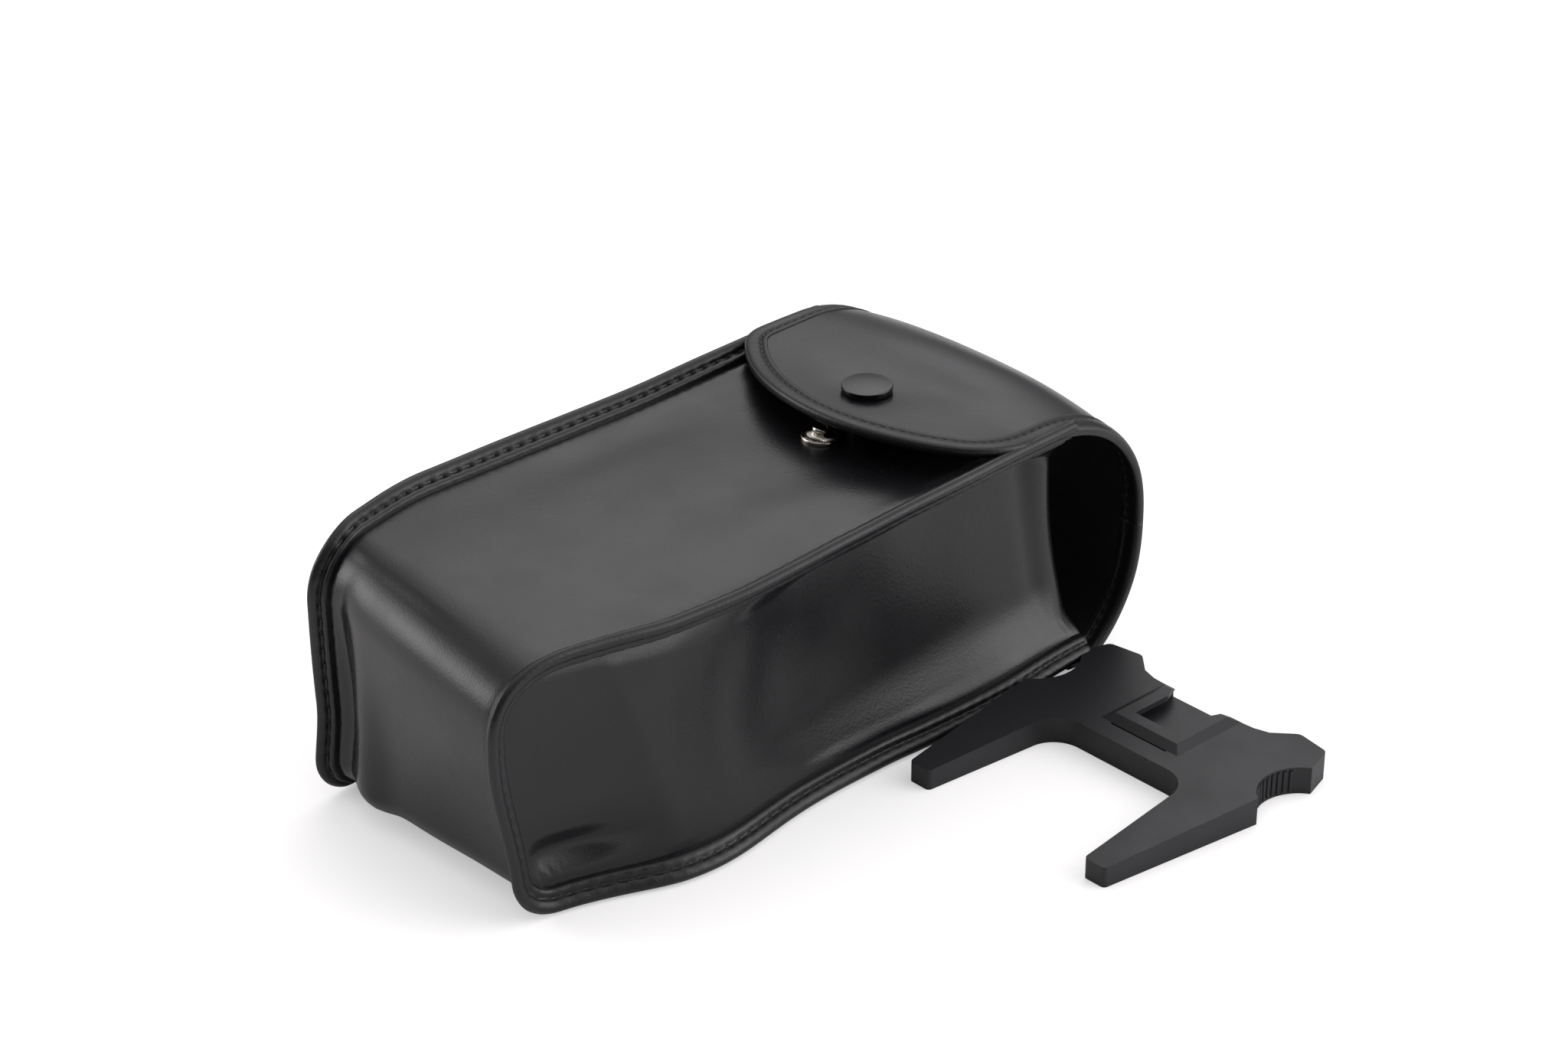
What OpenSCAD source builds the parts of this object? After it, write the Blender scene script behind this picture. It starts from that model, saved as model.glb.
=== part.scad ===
// Soft case for a shoe-mount camera flash, with the small stand that goes with it.
// The case lies on its back: closed end at -X, mouth and flap at +X, front panel on top.
// The stand lies on the same surface, beside the case at -Y.
// The origin is on the flat underside of the belt loop, at the middle of the back.

/* [Case] */
// Length of the back panel, closed end to mouth
case_len = 176; // [140:1:215]
// Width over the two side panels
case_w = 85.2; // [70:0.1:104]
// Height over the front and back panels
case_h = 61.7; // [50:0.1:76]
// How far the front panel stops short of the back panel at the mouth
front_setback = 11; // [4:0.5:14]
// Outer radius of the bend from the front panel into the closed end
front_bend = 14; // [9:0.5:18]
// Outer radius of the bend from the closed end into the back panel
back_bend = 8; // [6:0.5:11]

/* [Layers] */
// Thickness of the leatherette skin
skin_t = 1; // [0.8:0.1:1.4]
// Thickness of the stiffener boards and of the pad in the closed end
board_t = 1.2; // [0.8:0.1:1.8]
// Thickness of the lining cloth
lining_t = 0.6; // [0.4:0.1:1]
// Space left between a board and the seams round it
board_margin = 3; // [1:0.5:6]

/* [Bound seams] */
// How far a bound seam stands out from the edge it closes
seam_reach = 4.2; // [3.2:0.1:5.4]
// Thickness of a bound seam
seam_t = 2.6; // [2:0.1:3.4]
// Width of the sewing thread
thread_w = 0.6; // [0.4:0.1:0.9]
// Height of the sewing thread above what it sews
thread_h = 0.3; // [0.2:0.05:0.5]

/* [Flap] */
// How far the flap stands out beyond the mouth
flap_bulge = 17; // [12:0.5:22]
// Outer radius of the flap where it rolls over onto the front panel
flap_roll = 35; // [26:0.5:42]
// How far each side of the flap stands out beyond the side panel
flap_over = 1.4; // [0.5:0.1:2.4]
// Radius of the rounded tip of the flap
tip_r = 60; // [50:1:80]
// Distance from the middle of the snap cap to the tip of the flap
tip_past_cap = 18.6; // [12:0.1:24]
// Thickness of the flap's lining
flap_lining_t = 0.8; // [0.5:0.1:1.2]
// Width of the binding tape that shows on the flap
tape_w = 4; // [3:0.1:6]
// Thickness of the binding tape
tape_t = 0.5; // [0.3:0.05:0.8]
// Distance from the flap's edge to its line of stitching
flap_stitch_in = 3; // [1.5:0.1:5]

/* [Snap fastener] */
// Diameter of the snap cap
cap_d = 12.7; // [10:0.1:15.5]
// Height of the snap cap above the flap
cap_h = 1.4; // [1:0.1:2]
// Diameter of the snap socket
socket_d = 10.4; // [9:0.1:12.6]
// Height of the snap socket
socket_h = 3; // [2.6:0.1:3.6]
// Diameter of the head of the stud
stud_head_d = 4.2; // [3.4:0.1:5]
// Height of the stud above the front panel
stud_h = 3.4; // [2.8:0.1:4.1]
// Diameter of the serrated flange of the stud
stud_flange_d = 9.4; // [7.8:0.1:11.4]
// Distance from the back panel's mouth edge to the middle of the stud
stud_from_mouth = 51.7; // [42:0.1:62]
// How far the open flap's cap lies from the stud
cap_ahead = 15.8; // [12:0.1:19]

/* [Belt loop] */
// Width of the belt loop
loop_w = 40; // [24:1:60]
// Length of the belt that fits through, across the loop's free span
loop_span = 72; // [56:1:88]
// Thickness of the belt loop strap
loop_t = 1.3; // [1:0.1:1.7]
// Length of each sewn end of the belt loop
loop_end = 8; // [6:0.5:12]

/* [Inner pocket] */
// Depth of the stand's pocket inside the case
pocket_len = 84; // [70:1:100]
// Width of the stand's pocket
pocket_w = 78; // [66:0.5:80]

/* [Stand] */
// Length of the stand from leg tips to rear corners
stand_len = 75; // [63:0.5:90]
// Width of the stand over its wings
stand_w = 75; // [62:0.5:90]
// Thickness of the stand at its deck
stand_t = 7.2; // [6.4:0.1:8.7]
// Thickness of the stand at its leg tips
stand_tip_t = 5.4; // [4.4:0.1:6.2]
// Width of each leg at its tip
leg_tip_w = 6.3; // [4:0.1:8]
// How far each leg tip stands in from the line of the wing
leg_splay = 6; // [2:0.5:8]
// How much each leg widens inwards from its tip to the bridge
leg_flare = 3; // [1:0.5:4]
// Radius in the corners between the legs
crotch_r = 8; // [5:0.5:10]
// Width of the bridge between the legs' space and the shoe's frame
bridge_w = 5.7; // [4:0.1:8]
// Length of each side's finger notch
grip_len = 19.4; // [15:0.1:22]
// Depth of each side's finger notch
grip_in = 5.2; // [3:0.1:6.5]
// Length of each wing behind its finger notch
wing_len = 9.8; // [7:0.1:12]
// Free distance between the stand and the case's seam
stand_gap = 0.6; // [0.5:0.1:10]
// Distance of the leg tips from the middle of the case, along it
stand_x = 15.9; // [-40:0.1:40]
// Width of the opening between the shoe's rails
shoe_open_w = 13; // [12.5:0.1:13.4]
// Width of the channel under the rails
shoe_channel_w = 18.8; // [18.7:0.1:19.2]
// Height of the channel under the rails
shoe_channel_h = 2.3; // [2.1:0.1:2.7]
// Length of the channel, closed end to rear
shoe_len = 17.1; // [14:0.1:18]
// Distance of the shoe's open end from the stand's rear
shoe_from_rear = 6.3; // [5:0.1:8]
// Thickness of the shoe's rails
rail_t = 1.4; // [1.2:0.1:1.7]
// Minor radius of the tripod thread
thread_r = 2.55; // [2.4:0.05:3]
// Outer radius of the threaded insert
insert_r = 4; // [3.5:0.1:4.8]
// Thickness left between the threaded insert and the shoe's floor
insert_cover = 0.5; // [0.4:0.1:1.2]

/* [Hidden] */
$fn = 64;
eps = 0.01;
fit = 0.1;
seat = 0.02;
move_gap = 0.3;

// Seam corners and tips: a bound seam stands out at 45 degrees from the case's edges.
seam_out = (seam_reach + seam_t / 2) / sqrt(2);
case_z0 = seam_out;
case_z1 = case_z0 + case_h;
case_x0 = -case_len / 2;
mouth_back = case_len / 2;
mouth_front = mouth_back - front_setback;
case_y = case_w / 2;
wall_t = skin_t + board_t + lining_t;

// Flap: a lower arc up from the mouth, a roll over the top, then the flat tongue.
flap_t = skin_t + flap_lining_t;
flap_y = case_y + flap_over;
flap_under = case_z1 + max(seam_out, stud_h) + tape_t + move_gap;
flap_top = flap_under + flap_t;
roll_x = mouth_back + flap_bulge - flap_roll;
roll_z = flap_top - flap_roll;
root_x = mouth_back + move_gap + 0.75 * (flap_t + tape_t);
rise_in = mouth_back + flap_bulge - root_x;
rise_h = roll_z - case_z0;
rise_r = (rise_in * rise_in + rise_h * rise_h) / (2 * rise_in);
rise_x = mouth_back + flap_bulge - rise_r;
rise_a = asin(rise_h / rise_r);
curl_a = 45;
joint_a = 0.5;

// Snap fastener
stud_x = mouth_back - stud_from_mouth;
cap_x = stud_x + cap_ahead;
tip_x = cap_x - tip_past_cap;
post_r = 1.5;
bore_r = post_r + fit;
flange_h = 0.8;
eyelet_t = 0.6;
ring_wire = 0.35;

// Stand
half_w = stand_w / 2;
stand_y = -(case_y + seam_out + stand_gap + half_w);
tip_out = half_w - leg_splay;
tip_in = tip_out - leg_tip_w;
wing_v = stand_len - wing_len;
grip_v = wing_v - grip_len;
grip_r = (grip_len * grip_len / 4 + grip_in * grip_in) / (2 * grip_in);
shoe_rear = stand_len - shoe_from_rear;
shoe_front = shoe_rear - shoe_len;
shoe_floor = stand_t - shoe_channel_h;
shoe_wall = 3.4;
shoe_slope = 2.4;
frame_w = shoe_open_w / 2 + shoe_wall;
crotch_v = shoe_front - shoe_wall - shoe_slope - bridge_w;
insert_v = shoe_front + shoe_len / 2;
insert_h = shoe_floor - insert_cover;
rib_r = 0.45;
rib_count = 9;
rib_turn = 8;

// ---- Helpers: the side view is drawn as X across and Z up, then stood on the XZ plane ----

// Turns a shape built on the side view upright; its third axis becomes -Y.
module stand_up() { rotate([90, 0, 0]) children(); }

// Extrudes a side-view outline between two distances from the case's middle, on the -Y side.
module side_plate(near, far) { stand_up() translate([0, 0, near]) linear_extrude(far - near) children(); }

// A straight stretch of a section: the section's X points outwards, its Y sideways.
module run(at, turn, len) {
    translate([at.x, at.y, 0]) rotate([0, 0, turn]) rotate([90, 0, 90]) linear_extrude(len) children();
}

// A bent stretch of a section about a centre on the side view.
module bend(at, from, sweep, r) {
    translate([at.x, at.y, 0]) rotate([0, 0, from]) rotate_extrude(angle = sweep) translate([r, 0]) children();
}

// Points along an arc on the side view.
function arc(at, r, from, to, steps = 16) =
    [for (k = [0:steps]) at + r * [cos(from + (to - from) * k / steps), sin(from + (to - from) * k / steps)]];

// Side view of the case, drawn a distance inside its outer faces; over lengthens it past the mouth.
module side_outline(inset, over = 0) {
    polygon(concat(
        [[mouth_back + over, case_z0 + inset], [mouth_front + over, case_z1 - inset]],
        arc([case_x0 + front_bend, case_z1 - front_bend], front_bend - inset, 90, 180),
        arc([case_x0 + back_bend, case_z0 + back_bend], back_bend - inset, 180, 270)));
}

// The layer between two depths below the outer faces, open at the mouth.
module u_layer(outer, inner) {
    difference() {
        side_outline(outer);
        side_outline(inner, over = case_h);
    }
}

// A section carried round the edge of one side panel: front, closed end, back.
module round_side() {
    stand_up() {
        run([case_x0 + front_bend, case_z1], 0, mouth_front - case_x0 - front_bend) children();
        bend([case_x0 + front_bend, case_z1 - front_bend], 90, 90, front_bend) children();
        run([case_x0, case_z0 + back_bend], 90, case_h - front_bend - back_bend) children();
        bend([case_x0 + back_bend, case_z0 + back_bend], 180, 90, back_bend) children();
        run([mouth_back, case_z0], 180, mouth_back - case_x0 - back_bend) children();
    }
}

// Section of the bound seam, seated on the corner of strip and gusset.
module seam_section() {
    reach = seam_reach / sqrt(2);
    half = seam_t / 2 / sqrt(2);
    polygon([[0, case_y], [-2 * half, case_y], [reach - half, case_y + reach + half],
             [reach + half, case_y + reach - half], [0, case_y - 2 * half]]);
}

// Section of the stitching: the same thread shows on both faces of the seam.
module seam_thread_section() {
    half = seam_t / 2 + seat;
    translate([0, case_y]) rotate(45) for (y = [-half - thread_h, half])
        translate([0.4 * seam_reach, y]) square([thread_w, thread_h]);
}

module left() { mirror([0, 1, 0]) children(); }

module stud_bore() { translate([stud_x, 0, case_z1 - 2 * wall_t]) cylinder(h = 3 * wall_t, r = bore_r); }

module cap_bore() { translate([cap_x, 0, flap_under - 1]) cylinder(h = flap_t + 2, r = bore_r); }

// ---- Case ----

module outer_strip() {
    color("#26252a") difference() {
        side_plate(-case_y, case_y) u_layer(0, skin_t);
        stud_bore();
    }
}

module gusset() { side_plate(case_y - skin_t, case_y) side_outline(skin_t); }

module right_gusset() { color("#222126") gusset(); }

module left_gusset() { color("#222126") left() gusset(); }

module front_board() {
    x0 = case_x0 + front_bend;
    y = case_y - board_margin;
    color("#8a7a62") difference() {
        translate([x0, -y, case_z1 - skin_t - board_t]) cube([mouth_front - board_margin - x0, 2 * y, board_t]);
        stud_bore();
    }
}

module back_board() {
    x0 = case_x0 + back_bend;
    y = case_y - board_margin;
    color("#8a7a62") translate([x0, -y, case_z0 + skin_t])
        cube([mouth_back - board_margin - x0, 2 * y, board_t]);
}

module end_pad() {
    z0 = case_z0 + back_bend;
    y = case_y - board_margin;
    color("#4a4a4e") translate([case_x0 + skin_t, -y, z0])
        cube([board_t, 2 * y, case_z1 - front_bend - z0]);
}

lining_y = case_y - skin_t - lining_t;

module strip_lining() {
    color("#3a3a40") difference() {
        side_plate(-lining_y, lining_y) u_layer(skin_t + board_t, wall_t);
        stud_bore();
    }
}

module side_lining() { side_plate(lining_y, lining_y + lining_t) side_outline(skin_t + board_t); }

module right_lining() { color("#3a3a40") side_lining(); }

module left_lining() { color("#3a3a40") left() side_lining(); }

module right_binding() { color("#1c1b1f") round_side() seam_section(); }

module left_binding() { color("#1c1b1f") left() round_side() seam_section(); }

module right_seam_thread() { color("#101012") round_side() seam_thread_section(); }

module left_seam_thread() { color("#101012") left() round_side() seam_thread_section(); }

facing_len = 10;

module mouth_facing() {
    y = lining_y - fit;
    color("#1c1b1f") translate([mouth_front - facing_len - 1, -y, case_z1 - wall_t - lining_t])
        cube([facing_len, 2 * y, lining_t]);
}

loop_ramp = 3.5;
loop_half = loop_span / 2;
loop_tip = loop_half + loop_ramp + loop_end;

module belt_loop() {
    rise = case_z0 - loop_t;
    color("#222126") side_plate(-loop_w / 2, loop_w / 2) polygon([
        [-loop_tip, case_z0], [-loop_tip, rise], [-loop_half - loop_ramp, rise], [-loop_half, 0],
        [loop_half, 0], [loop_half + loop_ramp, rise], [loop_tip, rise], [loop_tip, case_z0],
        [loop_half + loop_ramp - 1, case_z0], [loop_half - 1, loop_t],
        [1 - loop_half, loop_t], [1 - loop_half - loop_ramp, case_z0]]);
}

// A line of stitching across each sewn end of the loop.
module belt_loop_thread() {
    color("#101012") for (side = [-1, 1])
        translate([side * (loop_tip - loop_end / 2) - thread_w / 2, -loop_w / 2 + 2, case_z0 - loop_t - thread_h])
            cube([thread_w, loop_w - 4, thread_h]);
}

pocket_x0 = case_x0 + back_bend + 2;
pocket_y = min(pocket_w / 2, lining_y - 1);

module inner_pocket() {
    color("#3a3a40") translate([pocket_x0, -pocket_y, case_z0 + wall_t]) cube([pocket_len, 2 * pocket_y, lining_t]);
}

hem_len = 6;

module pocket_hem() {
    color("#1c1b1f") translate([pocket_x0 + pocket_len - hem_len, -pocket_y, case_z0 + wall_t + lining_t])
        cube([hem_len, 2 * pocket_y, lining_t]);
}

// Stud: a dished serrated flange, a neck and a rounded head, open below for the eyelet's post.
module snap_stud() {
    flange_r = stud_flange_d / 2;
    head_r = stud_head_d / 2;
    serrations = 24;
    color("#d9d4c8") translate([stud_x, 0, case_z1]) difference() {
        union() {
            rotate_extrude() polygon([
                [0, 0], [flange_r - 0.3, 0], [flange_r, 0.3], [flange_r, flange_h], [flange_r - 0.5, flange_h],
                [head_r, 0.35], [head_r - 0.5, 0.9], [head_r - 0.5, stud_h - 1.7], [head_r, stud_h - 1.2],
                [head_r, stud_h - 0.5], [head_r - 0.6, stud_h], [0, stud_h]]);
            for (k = [0:serrations - 1]) rotate([0, 0, k * 360 / serrations])
                translate([head_r + 0.5, -0.12, 0.3]) cube([flange_r - head_r - 1, 0.24, flange_h - 0.35]);
        }
        translate([0, 0, -eps]) cylinder(h = 1.2, r = post_r - 0.4);
    }
}

// Eyelet: its flange bears on the lining, its post goes up into the stud.
module stud_eyelet() {
    color("#b9b5aa") translate([stud_x, 0, case_z1 - wall_t - eyelet_t]) {
        cylinder(h = eyelet_t, r = 0.48 * stud_flange_d);
        cylinder(h = eyelet_t + wall_t, r = post_r);
    }
}

// ---- Flap: riser, from the back panel up round the mouth ----

function backwards(points) = [for (k = [len(points) - 1:-1:0]) points[k]];

// The riser's side view at one depth below the outer face, from its root to the fold.
function riser_line(depth) = concat(
    arc([rise_x, roll_z], rise_r - depth, joint_a - rise_a, 0),
    arc([roll_x, roll_z], flap_roll - depth, 0, curl_a - joint_a));

// The tongue's side view at one depth, from the fold to past the tip.
function tongue_line(depth) = concat(
    arc([roll_x, roll_z], flap_roll - depth, curl_a + joint_a, 90), [[tip_x - 1, flap_top - depth]]);

module riser_layer(outer, inner, near, far) {
    side_plate(near, far) polygon(concat(riser_line(outer), backwards(riser_line(inner))));
}

// The tape folded round one edge: outside, edge and inside.
module riser_tape() {
    difference() {
        riser_layer(-tape_t, flap_t + tape_t, flap_y - tape_w, flap_y);
        riser_layer(0, flap_t, flap_y - tape_w - 1, flap_y - tape_t);
    }
}

module riser_skin() {
    y = flap_y - tape_t;
    color("#26252a") riser_layer(0, skin_t, -y, y);
}

module riser_lining() {
    y = flap_y - tape_t;
    color("#2c2b30") riser_layer(skin_t, flap_t, -y, y);
}

module riser_right_binding() { color("#1c1b1f") riser_tape(); }

module riser_left_binding() { color("#1c1b1f") left() riser_tape(); }

module riser_stitches() {
    y = flap_y - flap_stitch_in;
    riser_layer(-tape_t - thread_h, -tape_t, y, y + thread_w);
}

module riser_thread() {
    color("#101012") {
        riser_stitches();
        left() riser_stitches();
    }
}

// ---- Flap: tongue, from the fold over the front panel to the tip ----

// Plan of the tongue, drawn a distance inside its edge and open towards the fold.
module tongue_plan(inset) {
    intersection() {
        translate([tip_x + tip_r, 0]) circle(tip_r - inset, $fn = 128);
        translate([tip_x, -flap_y + inset]) square([tip_r, 2 * (flap_y - inset)]);
    }
    translate([tip_x + tip_r - eps, -flap_y + inset]) square([tip_r, 2 * (flap_y - inset)]);
}

// A tongue layer between two depths below the outer face, cut to the plan.
module tongue_layer(outer, inner, inset) {
    intersection() {
        side_plate(-flap_y, flap_y) polygon(concat(tongue_line(outer), backwards(tongue_line(inner))));
        translate([0, 0, roll_z]) linear_extrude(2 * flap_roll) tongue_plan(inset);
    }
}

module tongue_skin() {
    color("#26252a") difference() {
        tongue_layer(0, skin_t, tape_t);
        cap_bore();
    }
}

module tongue_lining() {
    color("#2c2b30") difference() {
        tongue_layer(skin_t, flap_t, tape_t);
        cap_bore();
    }
}

// The tape folded round the tongue's edge: outside, edge and inside.
module tongue_binding() {
    color("#1c1b1f") difference() {
        tongue_layer(-tape_t, flap_t + tape_t, 0);
        tongue_layer(0, flap_t, tape_t);
        translate([0, 0, roll_z - 1]) linear_extrude(2 * flap_roll) tongue_plan(tape_w);
    }
}

module tongue_thread() {
    color("#101012") difference() {
        tongue_layer(-tape_t - thread_h, -tape_t, flap_stitch_in - thread_w);
        translate([0, 0, roll_z - 1]) linear_extrude(2 * flap_roll) tongue_plan(flap_stitch_in);
    }
}

// ---- Snap fastener on the tongue ----

module snap_cap() {
    r = cap_d / 2;
    edge = 0.5;
    dome_r = (r * r + (cap_h - edge) * (cap_h - edge)) / (2 * (cap_h - edge));
    color("#0c0c0e") translate([cap_x, 0, flap_top]) {
        cylinder(h = edge, r = r);
        intersection() {
            translate([0, 0, cap_h - dome_r]) sphere(dome_r, $fn = 96);
            translate([0, 0, edge]) cylinder(h = cap_h, r = r);
        }
        translate([0, 0, -flap_t - 0.8]) cylinder(h = flap_t + 0.8 + eps, r = post_r);
    }
}

module snap_socket() {
    r = socket_d / 2;
    mouth_r = stud_head_d / 2 + 0.2;
    roof = 0.9;
    color("#d9d4c8") translate([cap_x, 0, flap_under - socket_h]) difference() {
        rotate_extrude() polygon([
            [0, 0], [mouth_r + 1.2, 0], [mouth_r + 1.6, 0.5], [mouth_r + 1.6, socket_h - 1], [r, socket_h - 0.7],
            [r, socket_h], [0, socket_h]]);
        translate([0, 0, -1]) cylinder(h = socket_h + 1 - roof, r = mouth_r);
        translate([0, 0, 0.7]) cylinder(h = 2 * ring_wire + 0.2, r = mouth_r + 2 * ring_wire);
        translate([0, 0, socket_h - roof - 1]) cylinder(h = roof + 2, r = bore_r);
    }
}

// The ring that grips the stud's head, lying in the socket's groove.
module socket_ring_spring() {
    color("#c8c4ba") translate([cap_x, 0, flap_under - socket_h + 0.7 + ring_wire])
        rotate_extrude() translate([stud_head_d / 2 + 0.2 + 0.8 * ring_wire, 0]) circle(ring_wire, $fn = 24);
}

// ---- Stand: drawn with its leg tips on the X axis and its axis along +Y, then laid beside the case ----

module place_stand() { translate([stand_x, stand_y, 0]) rotate([0, 0, -90]) mirror([1, 0, 0]) children(); }

module leg_space() {
    inner = tip_in - leg_flare;
    v = crotch_v - crotch_r;
    polygon([[-tip_in, -1], [tip_in, -1], [inner, v], [inner - crotch_r, crotch_v],
             [crotch_r - inner, crotch_v], [-inner, v]]);
    for (side = [-1, 1]) translate([side * (inner - crotch_r), v]) circle(crotch_r);
}

// Outline of one half: leg, finger notch, wing with cut corners, then in to the shoe's open end.
module half_plan() {
    shoulder = half_w - 12;
    difference() {
        polygon([[-eps, 0], [tip_out, 0], [half_w, grip_v], [half_w, wing_v], [half_w - 2.6, stand_len - 1.5],
                 [shoulder, stand_len], [shoulder - 5.4, shoe_rear + 1.4], [shoulder - 9.4, shoe_rear + 0.2],
                 [shoulder - 12.4, shoe_rear], [-eps, shoe_rear]]);
        translate([half_w - grip_in + grip_r, grip_v + grip_len / 2]) circle(grip_r);
    }
}

module stand_plan() {
    difference() {
        union() {
            half_plan();
            mirror([1, 0]) half_plan();
        }
        leg_space();
    }
}

// The raised frame round the shoe: a low block with sloped sides, shown across its width or along its length.
module frame_side(from, to) {
    polygon([[from - shoe_slope, stand_t - eps], [to + shoe_slope, stand_t - eps], [to, stand_t + rail_t],
             [from, stand_t + rail_t]]);
}

module shoe_frame() {
    intersection() {
        translate([0, shoe_rear, 0]) rotate([90, 0, 0]) linear_extrude(shoe_len + shoe_wall + shoe_slope)
            frame_side(-frame_w, frame_w);
        rotate([90, 0, 90]) translate([0, 0, -2 * frame_w]) linear_extrude(4 * frame_w)
            frame_side(shoe_front - shoe_wall, shoe_rear - shoe_slope);
    }
}

// What is cut from the deck and its frame: the foot's channel, the neck's slot with its flared way in, and the
// thin line across the front.
module shoe_space() {
    top = rail_t + shoe_channel_h + 1;
    translate([-shoe_channel_w / 2, shoe_front, shoe_floor]) cube([shoe_channel_w, shoe_len + 1, shoe_channel_h]);
    translate([0, 0, shoe_floor]) linear_extrude(top)
        polygon([[-shoe_open_w / 2, shoe_front], [shoe_open_w / 2, shoe_front], [shoe_open_w / 2, shoe_rear - 5.5],
                 [shoe_open_w / 2 + 2.4, shoe_rear + eps], [shoe_open_w / 2 + 2.4, shoe_rear + 1],
                 [-shoe_open_w / 2 - 2.4, shoe_rear + 1], [-shoe_open_w / 2 - 2.4, shoe_rear + eps],
                 [-shoe_open_w / 2, shoe_rear - 5.5]]);
    translate([-frame_w + 1, shoe_front - shoe_wall - shoe_slope - 0.5, stand_t - 0.35])
        cube([2 * frame_w - 2, 0.5, 1]);
}

// Upright ribs round the floor of each finger notch.
module grip_ribs() {
    for (side = [-1, 1], k = [0:rib_count - 1])
        translate([side * (half_w - grip_in + grip_r), grip_v + grip_len / 2, 0.7])
            rotate([0, 0, side * (k - (rib_count - 1) / 2) * rib_turn])
                translate([-side * grip_r, 0, 0]) cylinder(h = stand_t - 1.4, r = rib_r, $fn = 16);
}

module stand_body() {
    slope = atan((stand_t - stand_tip_t) / grip_v);
    color("#2b2b2d") place_stand() difference() {
        union() {
            difference() {
                linear_extrude(stand_t) stand_plan();
                translate([-stand_w, 0, stand_tip_t]) rotate([slope, 0, 0]) translate([0, -5, 0])
                    cube([2 * stand_w, grip_v + 5, stand_t]);
            }
            shoe_frame();
            grip_ribs();
        }
        shoe_space();
        translate([0, insert_v, -eps]) cylinder(h = insert_h + eps, r = insert_r);
    }
}

module tripod_insert() {
    color("#c9a24a") place_stand() translate([0, insert_v, 0]) difference() {
        cylinder(h = insert_h, r = insert_r);
        translate([0, 0, -1]) cylinder(h = insert_h + 2, r = thread_r);
    }
}

outer_strip();
left_gusset();
right_gusset();
front_board();
back_board();
end_pad();
strip_lining();
left_lining();
right_lining();
left_binding();
right_binding();
left_seam_thread();
right_seam_thread();
mouth_facing();
belt_loop();
belt_loop_thread();
inner_pocket();
pocket_hem();
snap_stud();
stud_eyelet();
riser_skin();
riser_lining();
riser_left_binding();
riser_right_binding();
riser_thread();
tongue_skin();
tongue_lining();
tongue_binding();
tongue_thread();
snap_cap();
snap_socket();
socket_ring_spring();
stand_body();
tripod_insert();
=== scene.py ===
import math
import random
import bpy
import bmesh
from mathutils import Matrix, Vector, noise


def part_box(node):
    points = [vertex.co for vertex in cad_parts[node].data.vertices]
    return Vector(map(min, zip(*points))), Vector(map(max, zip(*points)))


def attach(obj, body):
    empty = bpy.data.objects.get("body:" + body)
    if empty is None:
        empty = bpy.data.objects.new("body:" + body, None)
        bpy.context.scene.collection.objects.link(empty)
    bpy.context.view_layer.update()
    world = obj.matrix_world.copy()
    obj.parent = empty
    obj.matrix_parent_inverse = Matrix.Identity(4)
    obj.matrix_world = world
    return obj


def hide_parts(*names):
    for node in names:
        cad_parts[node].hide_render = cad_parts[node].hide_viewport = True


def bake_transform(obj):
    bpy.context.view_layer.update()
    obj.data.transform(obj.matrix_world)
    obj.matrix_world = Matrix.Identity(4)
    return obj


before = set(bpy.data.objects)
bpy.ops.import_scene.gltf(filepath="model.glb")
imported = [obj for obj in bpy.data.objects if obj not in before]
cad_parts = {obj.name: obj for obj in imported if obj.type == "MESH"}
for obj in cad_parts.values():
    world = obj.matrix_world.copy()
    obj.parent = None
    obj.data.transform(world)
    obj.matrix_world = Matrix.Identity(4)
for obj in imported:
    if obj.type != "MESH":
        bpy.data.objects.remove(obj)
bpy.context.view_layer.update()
mm = 0.001
random.seed(7)
print("frame loaded")


def clamp(value, low=0.0, high=1.0):
    return max(low, min(high, value))


def ease(value):
    value = clamp(value)
    return value * value * (3 - 2 * value)


# 0 before the start, 1 a length further on
def easeFrom(value, start, length):
    return ease((value - start) / length)


def hump(value, centre, width):
    return math.exp(-((value - centre) / width) ** 2)


def cadBoxOf(nodeName):
    low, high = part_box(nodeName)
    return low / mm, high / mm


def wobble(x, y=0.0, z=0.0, size=20.0):
    return noise.noise(Vector((x / size, y / size, z / size)))


# an sRGB hex colour as the linear values the shaders take
def colourOf(hexText):
    parts = [int(hexText[i:i + 2], 16) / 255 for i in (0, 2, 4)]
    linear = [c / 12.92 if c <= 0.04045 else ((c + 0.055) / 1.055) ** 2.4 for c in parts]
    return (*linear, 1.0)


# one value as a grey
def greyOf(value):
    return (value, value, value, 1.0)


# adds one shader node with its settings, incoming links, socket values and colour stops
def addNode(tree, kind, settings=None, links=None, values=None, stops=()):
    made = tree.nodes.new(kind)
    for name, value in (settings or {}).items():
        setattr(made, name, value)
    for name, value in (values or {}).items():
        made.inputs[name].default_value = value
    for name, source in (links or {}).items():
        tree.links.new(source, made.inputs[name])
    for k, (position, colour) in enumerate(stops):
        made.color_ramp.elements[k].position = position
        made.color_ramp.elements[k].color = colour
    return made


def newMaterial(name, colour, roughness, metallic=0.0, **shaderValues):
    material = bpy.data.materials.new(name)
    material.use_nodes = True
    shader = material.node_tree.nodes["Principled BSDF"]
    shader.inputs["Base Color"].default_value = colourOf(colour)
    shader.inputs["Roughness"].default_value = roughness
    shader.inputs["Metallic"].default_value = metallic
    for socket, value in shaderValues.items():
        shader.inputs[socket].default_value = value
    return material, material.node_tree, shader


def feed(tree, shader, sources):
    for socket, source in sources.items():
        tree.links.new(source, shader.inputs[socket])


texture = {
    "creaseToPebble": 2.6, "wornPatch": 22.0,    # leatherette: crease size in pebbles, patch in mm
    "yarnRelief": 0.12, "sheen": 0.25,           # cloth
    "mouldPatch": 14.0, "dull": 1.08, "polished": 0.9,   # moulded, cast and plated parts
}


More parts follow.
